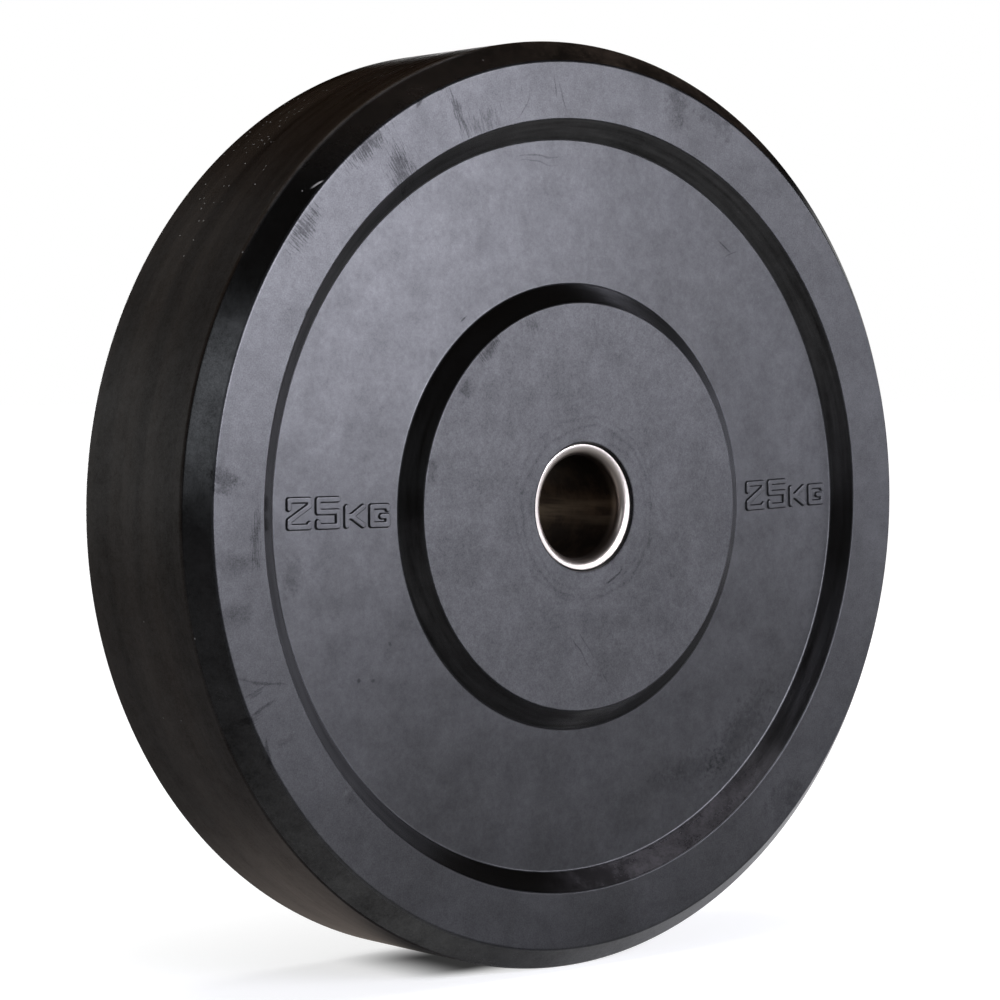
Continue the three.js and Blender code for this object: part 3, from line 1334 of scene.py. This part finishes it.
@dataclass(frozen=True)
class FlangeShape:
    """Sizes of an anchor flange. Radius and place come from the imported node."""

    name: str
    radius: float
    y: float
    bore_radius: float
    thickness: float = 0.004
    weld_leg: float = 0.0035
    hole_count: int = 8
    hole_share: float = 0.55
    key_root: float = 0.001

    @property
    def hole_circle_radius(self) -> float:
        """Radius of the circle that the holes lie on."""
        return (self.radius + self.bore_radius + self.weld_leg) / 2

    @property
    def hole_radius(self) -> float:
        """Radius of a hole."""
        return self.hole_share * (self.radius - self.bore_radius - self.weld_leg) / 2


class HubInsert:
    """The turned sleeve and the two flanges that are welded to it."""

    segments = 384
    longest_flat = 0.006
    edge_margin = 0.0001
    seat_gap = 0.0003
    edge_steps = 4
    lead_in_steps = 16
    lead_in_share = 0.9
    flange_nodes = ("anchor_flange_front", "anchor_flange_back")

    def __init__(self) -> None:
        """Reads the sizes of the sleeve and the flanges from the frame."""
        _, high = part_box("hub_sleeve")
        self.sleeve = SleeveShape(radius=high.x, half_length=high.y)
        self.flanges = []
        for name in self.flange_nodes:
            low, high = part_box(name)
            bore_radius = self.sleeve.radius + self.seat_gap
            self.flanges.append(FlangeShape(name, high.x, (low.y + high.y) / 2, bore_radius))

    def build_sleeve(self, finish: TurnedSteelFinish) -> None:
        """Makes the sleeve: a tube with a soft outer edge and a rounded lead-in at both mouths.

        Args:
            finish: The turned steel.
        """
        sleeve = self.sleeve
        half = sleeve.half_length
        edge = (sleeve.edge_round, self.edge_steps)
        mouth = (sleeve.lead_in, self.lead_in_steps, self.lead_in_share)
        outline = closed_outline([
            Corner(sleeve.radius, -half, *edge),
            Corner(sleeve.radius, half, *edge),
            Corner(sleeve.bore_radius, half, *mouth),
            Corner(sleeve.bore_radius, -half, *mouth),
        ], self.longest_flat, self.edge_margin)
        piece = make_piece("turned_hub_sleeve", *revolve(outline, self.segments))
        dress(piece, finish.material(sleeve), "hub_sleeve")

    def dress_flanges(self, finish: AnchorSteelFinish) -> None:
        """Gives the flanges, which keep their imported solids, their steel.

        Args:
            finish: The flange steel.
        """
        material = finish.material()
        for flange in self.flanges:
            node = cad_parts[flange.name]
            node.data.materials.clear()
            node.data.materials.append(material)
            LOG.info("dressed %s with %s", flange.name, material.name)


def dress(piece: bpy.types.Object, material: bpy.types.Material, node: str | None = None) -> None:
    """Gives a piece its material and ties it to the frame.

    Args:
        piece: The piece, in place.
        material: Its material.
        node: The CAD node that it stands for, if any.
    """
    piece.data.materials.append(material)
    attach(piece, BODY)
    if node:
        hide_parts(node)
    LOG.info("built %s with %d faces", piece.name, len(piece.data.polygons))


# Studio


def looking(place: Vector, target: Vector) -> Matrix:
    """Turns something at a place so that its -Z looks at a target and its +Y leans up."""
    return Matrix.Translation(place) @ (target - place).to_track_quat("-Z", "Y").to_matrix().to_4x4()


def put_up(name: str, data: bpy.types.ID, matrix: Matrix) -> bpy.types.Object:
    """Puts a lamp, a camera or a mesh in the scene.

    Args:
        name: Name of the object.
        data: The lamp, camera or mesh.
        matrix: Where it stands and how it is turned.

    Returns:
        The object.
    """
    placed = bpy.data.objects.new(name, data)
    placed.matrix_world = matrix
    bpy.context.scene.collection.objects.link(placed)
    return placed


def flat_sheet(material: bpy.types.Material, width: float, height: float, level: float = 0.0) -> bpy.types.Mesh:
    """A rectangle about the origin, square to Z.

    Args:
        material: Its material, which gives it its name.
        width: Its size along X.
        height: Its size along Y.
        level: Its place along Z.

    Returns:
        The mesh.
    """
    corners = [(x * width / 2, y * height / 2, level) for x, y in ((-1, -1), (1, -1), (1, 1), (-1, 1))]
    mesh = bpy.data.meshes.new(material.name)
    mesh.from_pydata(corners, [], [(0, 1, 2, 3)])
    mesh.materials.append(material)
    return mesh


@dataclass(frozen=True)
class Panel:
    """A rectangle in the studio that faces the plate.

    Args:
        name: Its name.
        azimuth: Degrees from -Y towards +X.
        elevation: Degrees above the horizon.
        distance: Distance from the plate.
        width: Its width.
        height: Its height.
        brightness: Radiance of its face, where 1 is the white of the background.
    """

    name: str
    azimuth: float
    elevation: float
    distance: float
    width: float
    height: float
    brightness: float = 0.0

    def hang(self, data: bpy.types.ID) -> bpy.types.Object:
        """Puts the panel's lamp or mesh in its place.

        Args:
            data: The lamp or mesh.

        Returns:
            The object.
        """
        turn, rise = math.radians(self.azimuth), math.radians(self.elevation)
        towards = Vector((math.sin(turn) * math.cos(rise), -math.cos(turn) * math.cos(rise), math.sin(rise)))
        return put_up(self.name, data, looking(towards * self.distance, Vector()))


@dataclass(frozen=True)
class Softbox(Panel):
    """A rectangular soft light.

    Args:
        colour: Colour of the light.
        mirrored: Whether it shows in what the plate reflects.
        spreading: Whether it also lights the floor and the colour of the plate.
    """

    colour: Colour = WHITE
    mirrored: bool = True
    spreading: bool = True

    def build(self) -> None:
        """Makes the lamp."""
        lamp = bpy.data.lights.new(self.name, "AREA")
        lamp.shape = "RECTANGLE"
        lamp.size, lamp.size_y = self.width, self.height
        lamp.energy = self.brightness * math.pi * self.width * self.height
        lamp.color = self.colour
        placed = self.hang(lamp)
        placed.visible_glossy, placed.visible_diffuse = self.mirrored, self.spreading
        LOG.info("lit %s", self.name)


@dataclass(frozen=True)
class Flag(Panel):
    """A card beside the set, which only shows in what the plate reflects: black, or grey where its glow is a
    painted reflection.
    """

    def build(self) -> None:
        """Makes the card."""
        material = bpy.data.materials.new(self.name)
        graph = Graph(material)
        graph.show(graph.emission(WHITE, self.brightness))
        card = self.hang(flat_sheet(material, self.width, self.height))
        for ray in ("camera", "diffuse", "shadow", "transmission"):
            setattr(card, f"visible_{ray}", False)


@dataclass(frozen=True)
class Camera:
    """The photograph's camera.

    Args:
        place: Where it stands.
        target: A point on its view axis.
        roll: Turn about the view axis, in degrees.
        lens: Focal length in millimetres on the sensor below.
        sensor: Width of the sensor in millimetres.
        nearest: Distance at which its view starts.
        farthest: Distance at which its view ends.
    """

    place: Triple = (-0.97139, -1.17478, 0.05535)
    target: Triple = (-0.00636, 0.00528, 0.00209)
    roll: float = -0.06
    lens: float = 110.51
    sensor: float = 36.0
    nearest: float = 0.05
    farthest: float = 200.0

    def build(self) -> None:
        """Makes the camera and gives it to the scene."""
        data = bpy.data.cameras.new("photo_camera")
        data.lens, data.sensor_width = self.lens, self.sensor
        data.clip_start, data.clip_end = self.nearest, self.farthest
        look = looking(Vector(self.place), Vector(self.target))
        roll = Matrix.Rotation(math.radians(self.roll), 4, "Z")
        bpy.context.scene.camera = put_up(data.name, data, look @ roll)


class Along(Enum):
    """What a fade on the floor runs along: the distance from its middle, or a sum of shares of X and Y."""

    AWAY = ()
    X = (1.0, 0.0)
    Y = (0.0, 1.0)
    NEAR_EDGE = (-0.55, 1.0)
    KEY_EDGE = (0.62, 1.0)


@dataclass(frozen=True)
class Fade:
    """A smooth change across the floor.

    Args:
        along: What it runs along.
        start: Where it starts.
        end: Where it ends.
        low: Level before the start.
        high: Level after the end.
    """

    along: Along
    start: float
    end: float
    low: float = 0.0
    high: float = 1.0


@dataclass(frozen=True)
class Floor:
    """White paper, which glows where the camera or the plate looks at it, so that it meets the background.

    A patch of the floor is the product of its fades. The camera sees a painted contact shadow near the plate,
    and the plate mirrors painted shade and several patches of painted light that glow, some of them warm.
    """

    size: float = 120.0
    colour: Colour = (0.45, 0.45, 0.45)
    # painted shade: outside the lit side, the plate's reflections see only this share of the paper's colour
    shaded_share: float = 0.27
    # painted contact shadow: the paper's colour and its glow for the camera are dimmed here, left of and under
    # where the plate stands
    painted_contact_shadow: tuple[Fade, ...] = (
        Fade(Along.X, -0.088, -0.040),
        Fade(Along.X, 0.0, 0.03, 1.0, 0.0),
        Fade(Along.Y, -0.032, -0.010),
        Fade(Along.Y, 0.022, 0.062, 0.95, 0.0),
    )
    near_glow: Fade = Fade(Along.AWAY, 0.10, 0.35, 0.70, 0.80)
    far_glow: Fade = Fade(Along.AWAY, 0.35, 3.0, 0.0, 0.22)
    # pool of painted light that the plate mirrors on its lit side
    lit_side: tuple[Fade, ...] = (Fade(Along.X, -0.09, 0.03), Fade(Along.Y, -0.07, -0.045))
    lit_glow: Fade = Fade(Along.AWAY, 0.0, 3.0, 0.31, 1.02)
    # patches of painted light that only the plate's reflections see
    behind: tuple[Fade, ...] = (Fade(Along.Y, 0.0, 0.03), Fade(Along.AWAY, 0.08, 0.25, 0.36, 0.05))
    in_front: tuple[Fade, ...] = (
        Fade(Along.AWAY, 0.16, 0.40),
        Fade(Along.AWAY, 0.68, 0.92, 1.0, 0.0),
        Fade(Along.Y, -0.14, -0.08, 0.18, 0.0),
        Fade(Along.X, -0.20, 0.02, 0.3, 1.0),
    )
    at_foot: tuple[Fade, ...] = (
        Fade(Along.NEAR_EDGE, -0.07, -0.04),
        Fade(Along.Y, -0.044, -0.034, 1.0, 0.0),
        Fade(Along.X, -0.36, -0.10, 0.0, 0.42),
        Fade(Along.X, -0.10, -0.02, 1.0, 0.0),
    )
    at_right: tuple[Fade, ...] = (
        Fade(Along.KEY_EDGE, 0.0, 0.08),
        Fade(Along.X, 0.75, 1.10, 0.0, 1.3),
        Fade(Along.X, 2.2, 2.6, 1.0, 0.0),
        Fade(Along.Y, -0.46, -0.38, 1.0, 0.0),
    )
    # warm tint of the painted light that the plate mirrors at the back left
    warm: Colour = (1.0, 0.85, 0.76)
    warm_side: tuple[Fade, ...] = (Fade(Along.Y, 0.0, 0.03), Fade(Along.X, -0.04, 0.0, 1.0, 0.0))

    def build(self, level: float) -> None:
        """Makes the floor.

        Args:
            level: Its height.
        """
        material = bpy.data.materials.new("floor_paper")
        graph = Graph(material)
        x, y, _ = graph.split(graph.point())
        flat = graph.combine(x, y, 0.0)
        measures = {Along.AWAY: graph.length(flat)}
        for along in (Along.X, Along.Y, Along.NEAR_EDGE, Along.KEY_EDGE):
            measures[along] = graph.vectors("DOT_PRODUCT", flat, (*along.value, 0.0))["Value"]

        def patch(*fades: Fade) -> Socket:
            """Product of the fades of a patch."""
            return graph.product(*(graph.fade(measures[f.along], f.start, f.end, f.low, f.high) for f in fades))

        to_camera, mirrored = graph.rays()
        painted_contact_shadow, lit_side = patch(*self.painted_contact_shadow), patch(*self.lit_side)
        growing = graph.total(patch(self.near_glow), patch(self.far_glow))
        # the camera sees the glow dimmed by the painted contact shadow
        seen = graph.product(to_camera, growing, graph.minus(painted_contact_shadow))
        # patches of painted light that only the plate's reflections see
        glows = [patch(*fades) for fades in (self.behind, self.in_front, self.at_foot, self.at_right)]
        # painted shade: the plate's reflections see the paper darker outside the lit side
        shade = graph.product(mirrored, graph.minus(lit_side), 1 - self.shaded_share)
        dark = graph.total(shade, graph.product(to_camera, painted_contact_shadow))
        paper = graph.node("BsdfDiffuse", {"Color": graph.blend(dark, self.colour, BLACK)})
        # warm tint of the painted light that the plate mirrors at the back left
        warmth = graph.product(mirrored, patch(*self.warm_side))
        lit = graph.product(lit_side, patch(self.lit_glow))
        strength = graph.total(seen, graph.product(mirrored, graph.total(lit, *glows)))
        glow = graph.emission(graph.blend(warmth, WHITE, self.warm), strength)
        graph.show(graph.node("AddShader", {0: paper.outputs[0], 1: glow.outputs[0]}))
        mesh = flat_sheet(material, self.size, self.size, level)
        put_up("studio_floor", mesh, Matrix.Identity(4))


@dataclass(frozen=True)
class Studio:
    """White floor and background, soft lamps, black cards that keep the rubber dark, and grey cards whose glow
    is a painted reflection.
    """

    room_fill: float = 0.22
    background: float = 1.0
    floor: Floor = Floor()
    lamps: tuple[Softbox, ...] = (
        Softbox("key_softbox", 14.8, 15.0, 2.4, 1.85, 1.15, 12.1, (0.96, 0.97, 1.14)),
        Softbox("fill_softbox", 60.0, 4.0, 2.5, 0.9, 0.7, 3.0, (0.96, 0.97, 1.14)),
        Softbox("camera_side_strip", -54.0, 18.5, 2.4, 0.60, 1.15, 1.65, (0.92, 0.97, 1.06)),
        Softbox("overhead_softbox", 0.0, 90.0, 2.2, 1.6, 1.6, 4.0, mirrored=False),
        Softbox("back_softbox", 167.0, 4.0, 2.3, 1.1, 0.8, 5.5, spreading=False),
    )
    flags: tuple[Flag, ...] = (
        # black cards keep the rubber dark; those with a brightness glow as painted reflections
        Flag("flag_camera_side", -50.0, 12.0, 3.0, 5.6, 4.6),
        Flag("flag_left_back", -140.0, 12.0, 3.0, 5.6, 4.6, 0.07),
        Flag("grey_card_left", -146.0, 4.0, 2.8, 2.1, 1.7, 0.36),
        Flag("grey_card_upper_left", -167.0, 31.0, 2.7, 0.95, 0.75, 0.20),
        Flag("flag_right", 87.0, 12.0, 3.0, 5.0, 4.6),
        Flag("grey_card_right", 113.0, 1.0, 2.8, 1.2, 1.1, 0.52),
        Flag("flag_back_top", 150.0, 50.0, 3.0, 5.0, 4.1),
        Flag("flag_overhead", 0.0, 90.0, 2.6, 6.0, 6.0),
    )

    def build_world(self) -> None:
        """Makes the white background, which lights the plate only softly."""
        world = bpy.data.worlds.new("studio_world")
        bpy.context.scene.world = world
        graph = Graph(world)
        levels = {1: self.room_fill, 2: self.background}
        feeds = {0: graph.math("ADD", *graph.rays(), clamp=True)}
        for entry, strength in levels.items():
            feeds[entry] = graph.node("Background", {"Color": opaque(WHITE), "Strength": strength}).outputs[0]
        graph.show(graph.node("MixShader", feeds), "OutputWorld")
        world.cycles.sampling_method = "NONE"

    def build(self, floor_level: float) -> None:
        """Makes the whole studio.

        Args:
            floor_level: Height of the floor that the plate stands on.
        """
        bpy.context.scene.view_settings.view_transform = "Standard"
        self.floor.build(floor_level)
        self.build_world()
        for panel in (*self.flags, *self.lamps):
            panel.build()


def main() -> None:
    """Builds the plate and its studio."""
    logging.basicConfig(level=logging.INFO, format="%(name)s: %(message)s")
    Camera().build()
    insert = HubInsert()
    disc = RubberDisc(insert.sleeve.radius, insert.sleeve.half_length, insert.flanges)
    rubber = disc.build(RubberFinish())
    for mark in (
        WeightMark("weight_mark_front_left", Side.FRONT, start=-0.1703, baseline=-0.0070),
        WeightMark("weight_mark_front_right", Side.FRONT, start=0.1150, baseline=-0.0051, tilt=2.0),
        WeightMark("weight_mark_back_left", Side.BACK, start=-0.1703, baseline=-0.0060),
        WeightMark("weight_mark_back_right", Side.BACK, start=0.1150, baseline=-0.0060),
    ):
        mark.build(disc.shape, rubber)
    insert.build_sleeve(TurnedSteelFinish())
    insert.dress_flanges(AnchorSteelFinish())
    Studio().build(floor_level=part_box("rubber_disc")[0].z)


if __name__ == "__main__":
    main()
